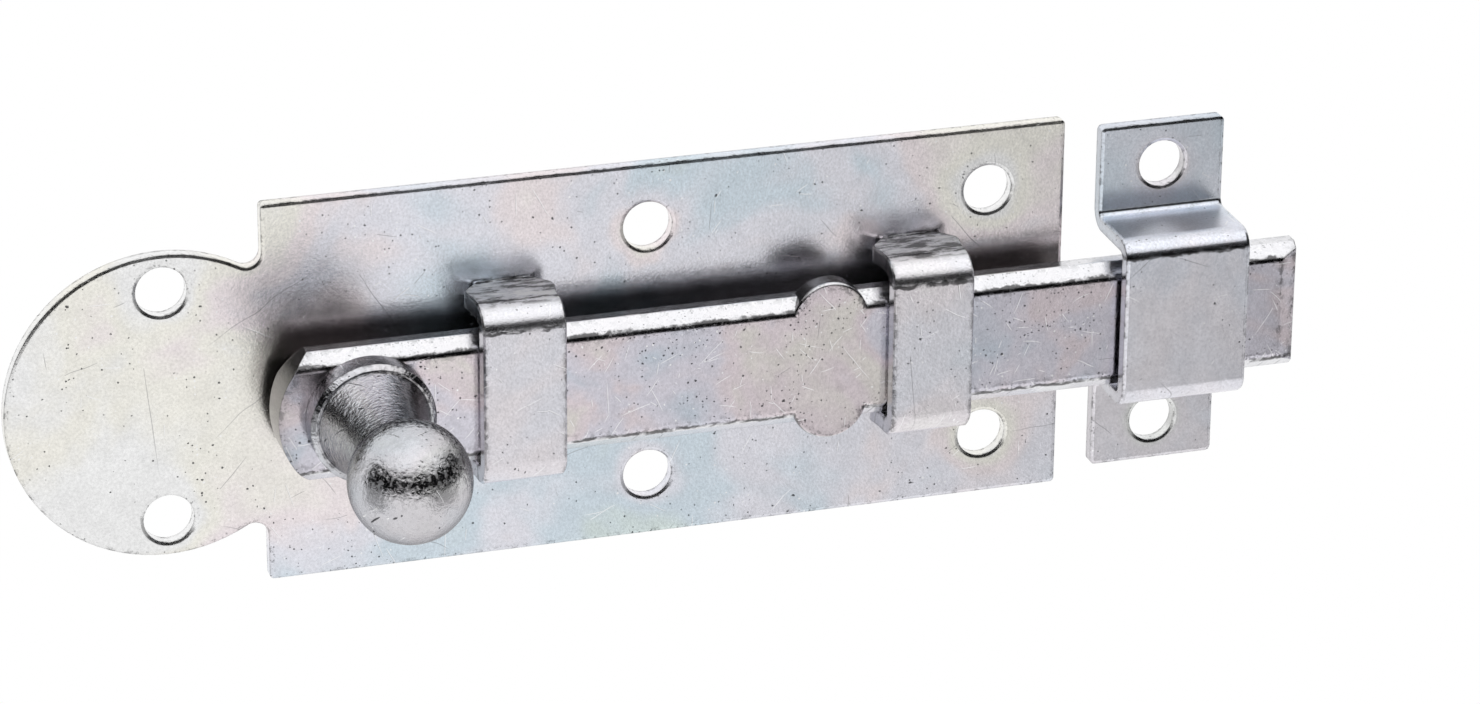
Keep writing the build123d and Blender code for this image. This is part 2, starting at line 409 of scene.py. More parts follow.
# %% Film thickness
patch_range = (0.3, 0.7)  # nearly all of the patches' noise lies in it
thickness_group, given, result = start_group(
    "film_thickness",
    [("Vector", "Vector", None), ("Patch scale", "Float", 45.0), ("Seed", "Float", 0.0),
     ("Thinnest", "Float", 0.0), ("Thickest", "Float", 0.9), ("Drain", "Float", 6.0),
     ("Extra", "Float", 0.0)],
    [("Thickness", "Float")],
)
patches = noise(thickness_group, given["Vector"], given["Patch scale"],
                detail=3.0, rough=0.55, seed=given["Seed"], distortion=0.7)
spread = remap(thickness_group, patches.outputs["Fac"], *patch_range, given["Thinnest"], given["Thickest"])
up = add_node(thickness_group, "ShaderNodeSeparateXYZ")
join(thickness_group, given["Vector"], up.inputs[0])
run_down = calc(thickness_group, "MULTIPLY", up.outputs["Z"], given["Drain"])
drained = calc(thickness_group, "SUBTRACT", spread, run_down)
total = calc(thickness_group, "ADD", drained, given["Extra"], clamp=True)
join(thickness_group, total, result["Thickness"])
report_group(thickness_group)

# %% Film tint
film_steps = [
    (0.00, (1.00, 1.00, 1.00)),
    (0.18, (1.00, 0.98, 0.91)),
    (0.36, (0.99, 0.91, 0.93)),
    (0.50, (0.91, 0.91, 0.98)),
    (0.68, (0.76, 0.86, 0.94)),
    (0.84, (0.80, 0.90, 0.88)),
    (1.00, (0.95, 0.91, 0.80)),
]
tint_group, given, result = start_group(
    "film_tint",
    [("Metal", "Color", white), ("Thickness", "Float", 0.0), ("Strength", "Float", 0.8)],
    [("Color", "Color")],
)
ramp = add_node(tint_group, "ShaderNodeValToRGB")
ramp.color_ramp.interpolation = "EASE"
while len(ramp.color_ramp.elements) < len(film_steps):
    ramp.color_ramp.elements.new(1.0)
for element, (step_place, step_colour) in zip(ramp.color_ramp.elements, film_steps):
    element.position = step_place
    element.color = (*step_colour, 1.0)
join(tint_group, given["Thickness"], ramp.inputs["Fac"])
tinted = add_node(tint_group, "ShaderNodeMix", data_type="RGBA", blend_type="MULTIPLY")
join(tint_group, given["Strength"], tinted.inputs["Factor"])
join(tint_group, given["Metal"], tinted.inputs[6])
join(tint_group, ramp.outputs["Color"], tinted.inputs[7])
join(tint_group, tinted.outputs[2], result["Color"])
print("film:", len(film_steps), "tints in order")

# %% [markdown]
# ## Shared effects: halos round holes
#
# Round a punched hole the film drains away and thins, which leaves a faint ring of tints. The halo could
# be painted on the mesh, but the plate's mesh stays as the model made it. A group measures how far a
# point is past one hole's rim instead, seen along the sheet's thickness, and gives 1 at the rim and 0 at
# the end of the halo.

# %% Hole halo
halo_group, given, result = start_group(
    "hole_halo",
    [("Vector", "Vector", None), ("Centre", "Vector", None),
     ("Radius", "Float", 3.0 * MM), ("Width", "Float", 4.0 * MM)],
    [("Halo", "Float")],
)
flat = add_node(halo_group, "ShaderNodeVectorMath", {1: (1.0, 0.0, 1.0)}, operation="MULTIPLY")
join(halo_group, given["Vector"], flat.inputs[0])
away = add_node(halo_group, "ShaderNodeVectorMath", operation="DISTANCE")
join(halo_group, flat.outputs["Vector"], away.inputs[0])
join(halo_group, given["Centre"], away.inputs[1])
past_rim = calc(halo_group, "SUBTRACT", away.outputs["Value"], given["Radius"])
near = calc(halo_group, "SUBTRACT", 1.0, calc(halo_group, "DIVIDE", past_rim, given["Width"]), clamp=True)
join(halo_group, calc(halo_group, "MULTIPLY", near, near), result["Halo"])
report_group(halo_group)

# %% [markdown]
# ## Shared effects: a flat place for small marks
#
# Scratches and specks are flat marks on a skin. A solid texture would show only those whose middle
# happens to lie in the surface, and a plain view from the front would draw them out into streaks on the
# sides. This group lays the front's X and Z into a flat pattern and mixes some depth into both, so that
# no side is seen edge-on.

# %% Flat place
flat_mixes = {"X": (1.0, 0.5, 0.0), "Y": (0.0, 0.85, 1.0)}  # shares of X, depth and Z in each flat axis
flat_group, given, result = start_group("flat_place", [("Vector", "Vector", None)], [("Place", "Vector")])
flat_axes = add_node(flat_group, "ShaderNodeCombineXYZ")
for axis, mix in flat_mixes.items():
    share = add_node(flat_group, "ShaderNodeVectorMath", {1: mix}, operation="DOT_PRODUCT")
    join(flat_group, given["Vector"], share.inputs[0])
    join(flat_group, share.outputs["Value"], flat_axes.inputs[axis])
join(flat_group, flat_axes.outputs[0], result["Place"])
report_group(flat_group)

# %% [markdown]
# ## Shared effects: hairline scratches
#
# Handling leaves fine scratches: short, nearly straight, and lying at every angle. Contour lines of a
# noise would be thin too, but they curl. A Voronoi texture deals the front into cells instead, and each
# cell holds one scratch: the cell's own random colour gives its angle, its length and whether it is there
# at all. Large soft noise then gathers the scratches in places, because a bolt isn't scratched evenly.

# %% Hairlines
hair_bend = 1.2 * MM
hair_bend_scale = 220.0
hair_gather_scale = 110.0
hair_gather_range = (0.35, 0.65)
hair_taper = 3.0  # the higher, the nearer to its ends a scratch stays full
hairline_group, given, result = start_group(
    "hairlines",
    [("Vector", "Vector", None), ("Scale", "Float", 250.0), ("Half length", "Float", 2.0 * MM),
     ("Half width", "Float", 0.07 * MM), ("Amount", "Float", 0.4), ("Seed", "Float", 0.0)],
    [("Mask", "Float")],
)
axes = add_node(hairline_group, "ShaderNodeSeparateXYZ")
join(hairline_group, given["Vector"], axes.inputs[0])
bend = noise(hairline_group, given["Vector"], hair_bend_scale, detail=1.0).outputs["Fac"]
bent = calc(hairline_group, "ADD", axes.outputs["Y"], calc(hairline_group, "MULTIPLY", bend, hair_bend))
front_place = add_node(hairline_group, "ShaderNodeCombineXYZ")
join(hairline_group, calc(hairline_group, "ADD", axes.outputs["X"], given["Seed"]), front_place.inputs["X"])
join(hairline_group, bent, front_place.inputs["Y"])
cells = add_node(hairline_group, "ShaderNodeTexVoronoi", voronoi_dimensions="2D", feature="F1")
join(hairline_group, front_place.outputs[0], cells.inputs["Vector"])
join(hairline_group, given["Scale"], cells.inputs["Scale"])
chance = add_node(hairline_group, "ShaderNodeSeparateColor")
join(hairline_group, cells.outputs["Color"], chance.inputs["Color"])
from_middle = add_node(hairline_group, "ShaderNodeVectorMath", operation="SUBTRACT")
join(hairline_group, front_place.outputs[0], from_middle.inputs[0])
join(hairline_group, cells.outputs["Position"], from_middle.inputs[1])
turned = add_node(hairline_group, "ShaderNodeVectorRotate", rotation_type="Z_AXIS")
join(hairline_group, from_middle.outputs[0], turned.inputs["Vector"])
join(hairline_group, calc(hairline_group, "MULTIPLY", chance.outputs[0], math.tau), turned.inputs["Angle"])
along = add_node(hairline_group, "ShaderNodeSeparateXYZ")
join(hairline_group, turned.outputs[0], along.inputs[0])
aside = calc(hairline_group, "ABSOLUTE", along.outputs["Y"])
across = calc(hairline_group, "DIVIDE", aside, given["Half width"])
line = calc(hairline_group, "SUBTRACT", 1.0, across, clamp=True)
half_length = calc(hairline_group, "MULTIPLY", chance.outputs[1], given["Half length"])
reach = calc(hairline_group, "DIVIDE", calc(hairline_group, "ABSOLUTE", along.outputs["X"]), half_length)
fade = calc(hairline_group, "SUBTRACT", 1.0, calc(hairline_group, "POWER", reach, hair_taper), clamp=True)
gathered = noise(hairline_group, given["Vector"], hair_gather_scale, seed=given["Seed"]).outputs["Fac"]
gathering = remap(hairline_group, gathered, *hair_gather_range)
wanted = calc(hairline_group, "MULTIPLY", gathering, given["Amount"])
drawn = calc(hairline_group, "LESS_THAN", chance.outputs[2], wanted)
mask = calc(hairline_group, "MULTIPLY", calc(hairline_group, "MULTIPLY", line, fade), drawn)
join(hairline_group, mask, result["Mask"])
report_group(hairline_group)

# %% [markdown]
# ## Shared effects: edges, pits, smudges and grain
#
# Dark specks are spots that the plating left open, and most of them lie near edges, where it takes badly.
# To know what is near an edge, a group compares the true normal with the one that the Bevel node rounds
# off, and noise tears the border of that strip, because no real edge is worn evenly. Pits are Voronoi
# cells with a random size each, made ragged by noise. Smudges are soft grey stains with torn borders.
# Grain is the unevenness of rolled and plated steel: it breaks up every reflection and speckles the
# colour.

# %% Nearness to an edge
flat_share = 0.05  # share of Turn up to which a place counts as flat
rim_turn = (0.07, 0.2)
tear_scale = 1100.0
tear_height = 2.5
tear_softness = 0.12
edge_group, given, result = start_group(
    "edge_nearness",
    [("Vector", "Vector", None), ("Reach", "Float", 0.8 * MM), ("Turn", "Float", 0.04),
     ("Tear", "Float", 1.0)],
    [("Near", "Float"), ("Rim", "Float"), ("Ragged", "Float")],
)
rounded = add_node(edge_group, "ShaderNodeBevel", samples=4)
join(edge_group, given["Reach"], rounded.inputs["Radius"])
true_normal = add_node(edge_group, "ShaderNodeNewGeometry").outputs["Normal"]
likeness = add_node(edge_group, "ShaderNodeVectorMath", operation="DOT_PRODUCT")
join(edge_group, rounded.outputs[0], likeness.inputs[0])
join(edge_group, true_normal, likeness.inputs[1])
turned_away = calc(edge_group, "SUBTRACT", 1.0, likeness.outputs["Value"])
flat_limit = calc(edge_group, "MULTIPLY", given["Turn"], flat_share)
nearness = remap(edge_group, turned_away, flat_limit, given["Turn"])
uneven = noise(edge_group, given["Vector"], tear_scale, detail=4.0, rough=0.6).outputs["Fac"]
tear = calc(edge_group, "MULTIPLY", calc(edge_group, "SUBTRACT", uneven, noise_middle), tear_height)
torn_strip = calc(edge_group, "ADD", nearness, tear)
torn_end = calc(edge_group, "ADD", given["Tear"], tear_softness)
join(edge_group, nearness, result["Near"])
join(edge_group, remap(edge_group, turned_away, *rim_turn), result["Rim"])
join(edge_group, remap(edge_group, torn_strip, given["Tear"], torn_end), result["Ragged"])
report_group(edge_group)

# %% Pits
pit_smallest = 0.3  # share of the largest
pit_gather_scale = 120.0
pit_gather_range = (0.42, 0.66)
pit_crowding = (0.1, 2.4)  # times the density, at the ends of that range
pit_ragged_scale = 4500.0
pit_raggedness = 2.2
pit_rim = 0.3  # share of the size over which a pit fades in
pit_group, given, result = start_group(
    "pits",
    [("Vector", "Vector", None), ("Scale", "Float", 400.0), ("Density", "Float", 0.2),
     ("Size", "Float", 0.12)],
    [("Mask", "Float")],
)
cells = add_node(pit_group, "ShaderNodeTexVoronoi", voronoi_dimensions="2D", feature="F1")
join(pit_group, given["Vector"], cells.inputs["Vector"])
join(pit_group, given["Scale"], cells.inputs["Scale"])
chance = add_node(pit_group, "ShaderNodeSeparateColor")
join(pit_group, cells.outputs["Color"], chance.inputs["Color"])
gathered = noise(pit_group, given["Vector"], pit_gather_scale, detail=3.0).outputs["Fac"]
crowding = remap(pit_group, gathered, *pit_gather_range, *pit_crowding)
wanted = calc(pit_group, "MULTIPLY", given["Density"], crowding)
drawn = calc(pit_group, "LESS_THAN", chance.outputs[0], wanted)
size_share = remap(pit_group, chance.outputs[1], 0.0, 1.0, pit_smallest, 1.0)
radius = calc(pit_group, "MULTIPLY", size_share, given["Size"])
ragged = noise(pit_group, given["Vector"], pit_ragged_scale).outputs["Fac"]
torn = calc(pit_group, "MULTIPLY", calc(pit_group, "SUBTRACT", ragged, noise_middle), given["Size"])
outside = calc(pit_group, "ADD", cells.outputs["Distance"], calc(pit_group, "MULTIPLY", torn, pit_raggedness))
depth = calc(pit_group, "DIVIDE", calc(pit_group, "SUBTRACT", radius, outside), given["Size"])
join(pit_group, calc(pit_group, "MULTIPLY", remap(pit_group, depth, 0.0, pit_rim), drawn), result["Mask"])
report_group(pit_group)

# %% Smudges and grain
smudge_start = 0.75  # noise above this is stained when the amount is 0
smudge_growth = 0.4  # how far an amount of 1 lowers that start
smudge_softness = 0.14
soft_relief = 1.2  # height of the soft grain against the fine one
smudge_group, given, result = start_group(
    "smudges",
    [("Vector", "Vector", None), ("Scale", "Float", 130.0), ("Amount", "Float", 0.3),
     ("Seed", "Float", 0.0)],
    [("Mask", "Float")],
)
stain = noise(smudge_group, given["Vector"], given["Scale"], detail=7.0, rough=0.68, seed=given["Seed"])
lowered = calc(smudge_group, "MULTIPLY", given["Amount"], smudge_growth)
start = calc(smudge_group, "SUBTRACT", smudge_start, lowered)
end = calc(smudge_group, "ADD", start, smudge_softness)
join(smudge_group, remap(smudge_group, stain.outputs["Fac"], start, end), result["Mask"])
report_group(smudge_group)

grain_group, given, result = start_group(
    "plating_grain",
    [("Vector", "Vector", None), ("Fine scale", "Float", 3200.0), ("Soft scale", "Float", 420.0)],
    [("Height", "Float"), ("Speckle", "Float"), ("Mottle", "Float")],
)
fine = noise(grain_group, given["Vector"], given["Fine scale"], detail=3.0, rough=0.65).outputs["Fac"]
soft = noise(grain_group, given["Vector"], given["Soft scale"], detail=4.0, rough=0.6).outputs["Fac"]
height = calc(grain_group, "ADD", fine, calc(grain_group, "MULTIPLY", soft, soft_relief))
join(grain_group, height, result["Height"])
join(grain_group, fine, result["Speckle"])
join(grain_group, soft, result["Mottle"])
report_group(grain_group)

# %% [markdown]
# ## One recipe for plated steel
#
# All five finishes are the same metal with other values: how strong the tint is, how many pits and
# scratches it has and how far it blurs what it mirrors. Five separate trees would repeat the same few
# dozen nodes, so one function builds the common part and gives back the sockets that a piece may still
# change before they reach the shader.

# %% Colour steps
def blend(tree, below, value, mask):
    """Replaces a value by another one where a mask is 1."""
    node = add_node(tree, "ShaderNodeMix", {3: value}, data_type="FLOAT")
    join(tree, mask, node.inputs["Factor"])
    join(tree, below, node.inputs[2])
    return node.outputs[0]


def over(tree, below, colour, mask, strength):
    """Lays one colour over another by a mask."""
    layer = add_node(tree, "ShaderNodeMix", {7: (*colour, 1.0)}, data_type="RGBA")
    join(tree, calc(tree, "MULTIPLY", mask, strength), layer.inputs["Factor"])
    join(tree, below, layer.inputs[6])
    return layer.outputs[2]


def shade(tree, colour, value):
    """Makes a colour lighter or darker by a value."""
    node = add_node(tree, "ShaderNodeVectorMath", operation="SCALE")
    join(tree, colour, node.inputs[0])
    join(tree, value, node.inputs["Scale"])
    return node.outputs[0]


def widest(tree, masks):
    """The highest of several masks."""
    highest = masks[0]
    for mask in masks[1:]:
        highest = calc(tree, "MAXIMUM", highest, mask)
    return highest


# %% Masks of the marks
pit_kinds = ((430.0, 0.08), (1100.0, 0.16), (2300.0, 0.26))  # cells in a metre, largest radius in cells
glint_kind = {"Scale": 1500.0, "Size": 0.2}
# Scratches: cells in a metre, longest half length, step of the seed
light_hairs = ((260.0, 3.0 * MM, 0), (420.0, 1.6 * MM, 3), (310.0, 2.2 * MM, 6))
dark_hairs = ((210.0, 3.5 * MM, 9), (95.0, 8.0 * MM, 12))


def effect(tree, group, place, values=None):
    """Puts a shared effect into a material, on a place."""
    node = place_group(tree, group, values)
    join(tree, place, node.inputs["Vector"])
    return node


def pit_marks(tree, flat_place, density):
    """Pits of every kind, as one mask."""
    masks = []
    for cell_scale, pit_size in pit_kinds:
        pit = effect(tree, pit_group, flat_place, {"Scale": cell_scale, "Size": pit_size})
        join(tree, density, pit.inputs["Density"])
        masks.append(pit.outputs["Mask"])
    return widest(tree, masks)


def hair_marks(tree, flat_place, kinds, amount, seed):
    """Scratches of several kinds, as one mask."""
    masks = []
    for cell_scale, half_length, seed_step in kinds:
        values = {"Scale": cell_scale, "Half length": half_length, "Amount": amount, "Seed": seed + seed_step}
        masks.append(effect(tree, hairline_group, flat_place, values).outputs["Mask"])
    return widest(tree, masks)


print("kinds of mark:", len(pit_kinds), "pits,", len(light_hairs) + len(dark_hairs), "scratches")

# %% Relief
pit_depth = 2.0  # in heights of the fine grain
scratch_depth = 0.5
worn_scale = 450.0
worn_range = (0.35, 0.65)
worn_shares = (0.35, 1.35)  # of the edge's radius


def plated_normal(tree, place, height, edge_round, depth):
    """The normal of a surface with fine relief, whose edges are rounded unevenly."""
    edge = add_node(tree, "ShaderNodeBevel", samples=6)
    uneven = noise(tree, place, worn_scale, detail=3.0).outputs["Fac"]
    worn = remap(tree, uneven, *worn_range, *worn_shares)
    join(tree, calc(tree, "MULTIPLY", worn, edge_round), edge.inputs["Radius"])
    bump = add_node(tree, "ShaderNodeBump", {"Strength": 1.0, "Distance": depth})
    join(tree, height, bump.inputs["Height"])
    join(tree, edge.outputs["Normal"], bump.inputs["Normal"])
    return bump.outputs["Normal"]


# %% Plated steel
pit_black = (0.035, 0.035, 0.04)
# black of worn edges and torn plating, and of the painted dark lines along the top bends
wear_and_shade_black = (0.06, 0.058, 0.06)
scratch_light = (0.97, 0.97, 0.98)
scratch_dark = (0.25, 0.25, 0.26)
# grey of smudges, worn rims and shorn faces, and of the painted shade beside the knob
smudge_and_shade_grey = (0.22, 0.21, 0.21)
grain_range = (0.3, 0.7)  # nearly all of the grain's noise lies in it
mottle_shades = (0.93, 1.05)
speckle_shades = (0.88, 1.10)


def plated_steel(name, metal, seed,
                 tint=0.6, patch=45.0, film=(0.0, 0.9), drain=6.0,
                 roughness=(0.25, 0.31), grain_scale=3200.0, grain_depth=0.014 * MM,
                 pits=0.05, edge_pits=0.3, glints=0.05, smudge=0.2, light_lines=0.3, dark_lines=0.1,
                 tear=1.1, edge_reach=0.8 * MM, edge_turn=0.04, edge_round=0.15 * MM):
    """Plated steel. Gives back the material and the parts that a piece may still change."""
    material = bpy.data.materials.new(name)
    material.use_nodes = True
    tree = material.node_tree
    shader = tree.nodes["Principled BSDF"]
    shader.inputs["Metallic"].default_value = 1.0
    place = add_node(tree, "ShaderNodeTexCoord").outputs["Object"]
    flat_place = effect(tree, flat_group, place).outputs["Place"]

    thinnest, thickest = film
    film_values = {"Patch scale": patch, "Seed": seed, "Drain": drain,
                   "Thinnest": thinnest, "Thickest": thickest}
    thickness = effect(tree, thickness_group, place, film_values)
    coat = place_group(tree, tint_group, {"Metal": (*metal, 1.0), "Strength": tint})
    join(tree, thickness.outputs["Thickness"], coat.inputs["Thickness"])
    grain = effect(tree, grain_group, place, {"Fine scale": grain_scale})
    edges = effect(tree, edge_group, place, {"Tear": tear, "Reach": edge_reach, "Turn": edge_turn})

    density = remap(tree, edges.outputs["Near"], 0.0, 1.0, pits, edge_pits)
    pitted = pit_marks(tree, flat_place, density)
    glinting = effect(tree, pit_group, flat_place, {**glint_kind, "Density": glints}).outputs["Mask"]
    scratched = hair_marks(tree, flat_place, light_hairs, light_lines, seed)
    scored = hair_marks(tree, flat_place, dark_hairs, dark_lines, seed)
    smudged = effect(tree, smudge_group, place, {"Amount": smudge, "Seed": seed}).outputs["Mask"]

    mottle = grain.outputs["Mottle"]
    colour = shade(tree, coat.outputs["Color"], remap(tree, mottle, *grain_range, *mottle_shades))
    colour = shade(tree, colour, remap(tree, grain.outputs["Speckle"], *grain_range, *speckle_shades))
    for tone, mask, strength in (
        (smudge_and_shade_grey, smudged, 0.35),
        (smudge_and_shade_grey, edges.outputs["Rim"], 0.45),
        (wear_and_shade_black, edges.outputs["Ragged"], 0.85),
        (scratch_light, widest(tree, [scratched, glinting]), 0.9),
        (scratch_dark, scored, 0.7),
        (pit_black, pitted, 0.9),
    ):
        colour = over(tree, colour, tone, mask, strength)
    dull = remap(tree, mottle, *grain_range, *roughness)
    height = calc(tree, "SUBTRACT", grain.outputs["Height"], calc(tree, "MULTIPLY", pitted, pit_depth))
    height = calc(tree, "SUBTRACT", height, calc(tree, "MULTIPLY", scratched, scratch_depth))
    join(tree, colour, shader.inputs["Base Color"])
    join(tree, dull, shader.inputs["Roughness"])
    join(tree, plated_normal(tree, place, height, edge_round, grain_depth), shader.inputs["Normal"])
    return material, {"tree": tree, "place": place, "thickness": thickness, "coat": coat, "grain": grain,
                      "colour": colour, "dull": dull, "shader": shader}


# %% Changes that a piece makes to the recipe
halo_fade_scale = 90.0
halo_fade_range = (0.35, 0.6)
halo_shares = (0.5, 1.0)


def axis_value(parts, output, axis):
    """One axis of a Texture Coordinate output: Object for the place, Normal for the direction."""
    tree = parts["tree"]
    split = add_node(tree, "ShaderNodeSeparateXYZ")
    join(tree, add_node(tree, "ShaderNodeTexCoord").outputs[output], split.inputs[0])
    return split.outputs[axis]


def facing(parts, axis, start, full):
    """1 where a piece faces along an axis, either way, and 0 where it has turned from it."""
    along_axis = calc(parts["tree"], "ABSOLUTE", axis_value(parts, "Normal", axis))
    return remap(parts["tree"], along_axis, start, full)


def lay_over(parts, mask, strength, tone=smudge_and_shade_grey):
    """Lays another tone over what the recipe has made."""
    parts["colour"] = over(parts["tree"], parts["colour"], tone, mask, strength)
    join(parts["tree"], parts["colour"], parts["shader"].inputs["Base Color"])


def roughen(parts, mask, value):
    """Gives the masked part of a piece another roughness."""
    parts["dull"] = blend(parts["tree"], parts["dull"], value, mask)
    join(parts["tree"], parts["dull"], parts["shader"].inputs["Roughness"])


def halos_round(parts, holes, hole_radius, width):
    """1 at each hole's rim and 0 where its halo ends, stronger in some places than in others."""
    tree = parts["tree"]
    halos = []
    for hole in holes:
        sizes = {"Centre": (hole.x, 0.0, hole.z), "Radius": hole_radius, "Width": width}
        halo = place_group(tree, halo_group, sizes)
        join(tree, parts["place"], halo.inputs["Vector"])
        halos.append(halo.outputs["Halo"])
    uneven = noise(tree, parts["place"], halo_fade_scale).outputs["Fac"]
    share = remap(tree, uneven, *halo_fade_range, *halo_shares)
    return calc(tree, "MULTIPLY", widest(tree, halos), share)


# %% Ragged dark lines
dark_line_half = 0.3 * MM
dark_line_fade = 0.5  # share of the half width over which a line fades
dark_line_sway = 1.1 * MM
sway_scale = 700.0
break_scale = 450.0
break_range = (0.38, 0.5)


def ragged_dark_line(parts, off_line, strength):
    """A ragged, broken black line where a distance is zero."""
    tree = parts["tree"]
    wander = noise(tree, parts["place"], sway_scale, detail=3.0, rough=0.6).outputs["Fac"]
    sway = calc(tree, "MULTIPLY", calc(tree, "SUBTRACT", wander, noise_middle), dark_line_sway)
    off = calc(tree, "ABSOLUTE", calc(tree, "ADD", off_line, sway))
    line = calc(tree, "SUBTRACT", 1.0, calc(tree, "DIVIDE", off, dark_line_half), clamp=True)
    breaks = noise(tree, parts["place"], break_scale, detail=4.0, rough=0.6, seed=2.0).outputs["Fac"]
    drawn = remap(tree, line, 0.0, dark_line_fade)
    broken = calc(tree, "MULTIPLY", drawn, remap(tree, breaks, *break_range))
    lay_over(parts, broken, strength, wear_and_shade_black)


# %% [markdown]
# ## The back plate
#
# The plate is punched from cold-rolled sheet. It is the palest piece, with wide soft patches of tint and
# a halo round each hole. One halo of the same depth everywhere looks stamped, so soft noise lets some of
# them fade. The film could be as thick everywhere, but a plate that dries lying on a rack keeps more of
# it in the middle: that part turns blue, while the lobe stays pale and the right end goes over to rose.

# %% Sheet finish
film_middle = 0.52
film_at_right = 0.5  # share of the middle's film that the right end keeps
film_rises = (-46.0 * MM, -12.0 * MM)
film_falls = (30.0 * MM, 50.0 * MM)
film_lost_at_holes = 0.45
plate_halo = 4.5 * MM
sheet_steel, parts = plated_steel("plated_sheet", (0.90, 0.90, 0.90), 1.0, tint=1.0, film=(-0.18, 0.32),
                                  drain=4.0, roughness=(0.22, 0.27), pits=0.025,
                                  light_lines=0.12, dark_lines=0.3)
tree = parts["tree"]
along = axis_value(parts, "Object", "X")
film_from_left = remap(tree, along, *film_rises)
film_to_right = remap(tree, along, *film_falls, 1.0, film_at_right)
middle = calc(tree, "MULTIPLY", film_from_left, film_to_right)
halos = halos_round(parts, plate_holes, plate_hole_radius, plate_halo)
kept = calc(tree, "SUBTRACT", calc(tree, "MULTIPLY", middle, film_middle),
            calc(tree, "MULTIPLY", halos, film_lost_at_holes))
join(tree, kept, parts["thickness"].inputs["Extra"])
nodes["back_plate"].material_slots[0].material = sheet_steel
print("back plate:", len(plate_holes), "halos")

# %% [markdown]
# ## The keepers
#
# Each keeper is a strap, bent over a block. Above the flat front, the top bend and leg are painted lighter,
# as a painted highlight. The bending opened the plating along ragged lines: one where the flat front turns
# into the bend, which is partly painted dark reflection of the bend, one where the bend turns into the leg,
# and one where the leg meets the plate. The legs were stretched most: they are dull, and the plating there
# has torn into dark layers and pale flakes that lie along the strap's width. The shorn sides are darker
# than the rolled face. All of it could be painted, but it follows the piece's own shape: the lines lie
# where the flat front ends, one bend radius behind it and on the plate's front, and the normals tell legs
# and sides apart.

# %% Strap finish
shorn_limits = (0.75, 0.95)
leg_limits = (0.9, 0.97)
leg_roughness = 0.6
top_bend_highlight = (0.86, 0.87, 0.89)
highlight_rise = 0.5 * MM  # over which the bend turns bright
strap_line_rise = 0.1 * MM
front_skin = 0.02 * MM  # points this near to the front belong to it


def front_top(node_name, beyond=cad_low.x):
    """Height at which the flat front of a piece ends above, among its points to the right of a place."""
    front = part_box(node_name)[0].y + front_skin
    points = [point.co for point in nodes[node_name].data.vertices]
    return max(point.z for point in points if point.y < front and point.x > beyond)


strap_steel, parts = plated_steel("plated_strap", (0.80, 0.80, 0.82), 2.0, film=(0.2, 0.66),
                                  roughness=(0.22, 0.28), grain_depth=0.022 * MM, pits=0.04, edge_pits=0.5,
                                  light_lines=0.25, tear=0.95)
tree = parts["tree"]
shorn = facing(parts, "X", *shorn_limits)
leg = facing(parts, "Z", *leg_limits)
lay_over(parts, shorn, strength=0.45)
roughen(parts, leg, leg_roughness)
upward = axis_value(parts, "Object", "Z")
keeper_front_top = front_top("left_keeper")
# Painted highlight: above the flat front, the top bend and leg are laid lighter, the bottom bend not.
painted_top_highlight = remap(tree, upward, keeper_front_top, keeper_front_top + highlight_rise)
lay_over(parts, painted_top_highlight, strength=0.4, tone=top_bend_highlight)
# Along the top of the flat front: a ragged dark line, partly opened plating and partly painted dark
# reflection of the bend.
ragged_dark_line(parts, calc(tree, "SUBTRACT", upward, keeper_front_top + strap_line_rise), strength=0.9)
print("keepers: flat front up to", round(keeper_front_top / MM, 2), "mm")

# %% Torn legs
leg_stretch = (0.3, 1.0, 1.0)  # draws the layers out along the strap's width
layer_scale = 900.0
dark_layers = (0.51, 0.42)
pale_flakes = (0.56, 0.62)
flake_metal = 0.35  # flakes are more powder than metal
keeper_bend = 3.0 * MM
root_line_gap = 0.3 * MM
plate_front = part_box("back_plate")[0].y

drawn_out = add_node(tree, "ShaderNodeVectorMath", {1: leg_stretch}, operation="MULTIPLY")
join(tree, parts["place"], drawn_out.inputs[0])
layers = noise(tree, drawn_out.outputs[0], layer_scale, detail=5.0, rough=0.65).outputs["Fac"]
darkened = calc(tree, "MULTIPLY", leg, remap(tree, layers, *dark_layers))
lay_over(parts, darkened, strength=0.75, tone=wear_and_shade_black)
flakes = calc(tree, "MULTIPLY", leg, remap(tree, layers, *pale_flakes))
lay_over(parts, flakes, strength=0.7, tone=scratch_light)
join(tree, remap(tree, flakes, 0.0, 1.0, 1.0, flake_metal), parts["shader"].inputs["Metallic"])
from_front = axis_value(parts, "Object", "Y")
ragged_dark_line(parts, calc(tree, "SUBTRACT", from_front, keeper_low.y + keeper_bend), strength=0.8)
ragged_dark_line(parts, calc(tree, "SUBTRACT", from_front, plate_front - root_line_gap), strength=0.95)
for keeper_name in ("left_keeper", "right_keeper"):
    nodes[keeper_name].material_slots[0].material = strap_steel
print("legs torn from", round((keeper_low.y + keeper_bend) / MM, 2), "to", round(plate_front / MM, 2), "mm")
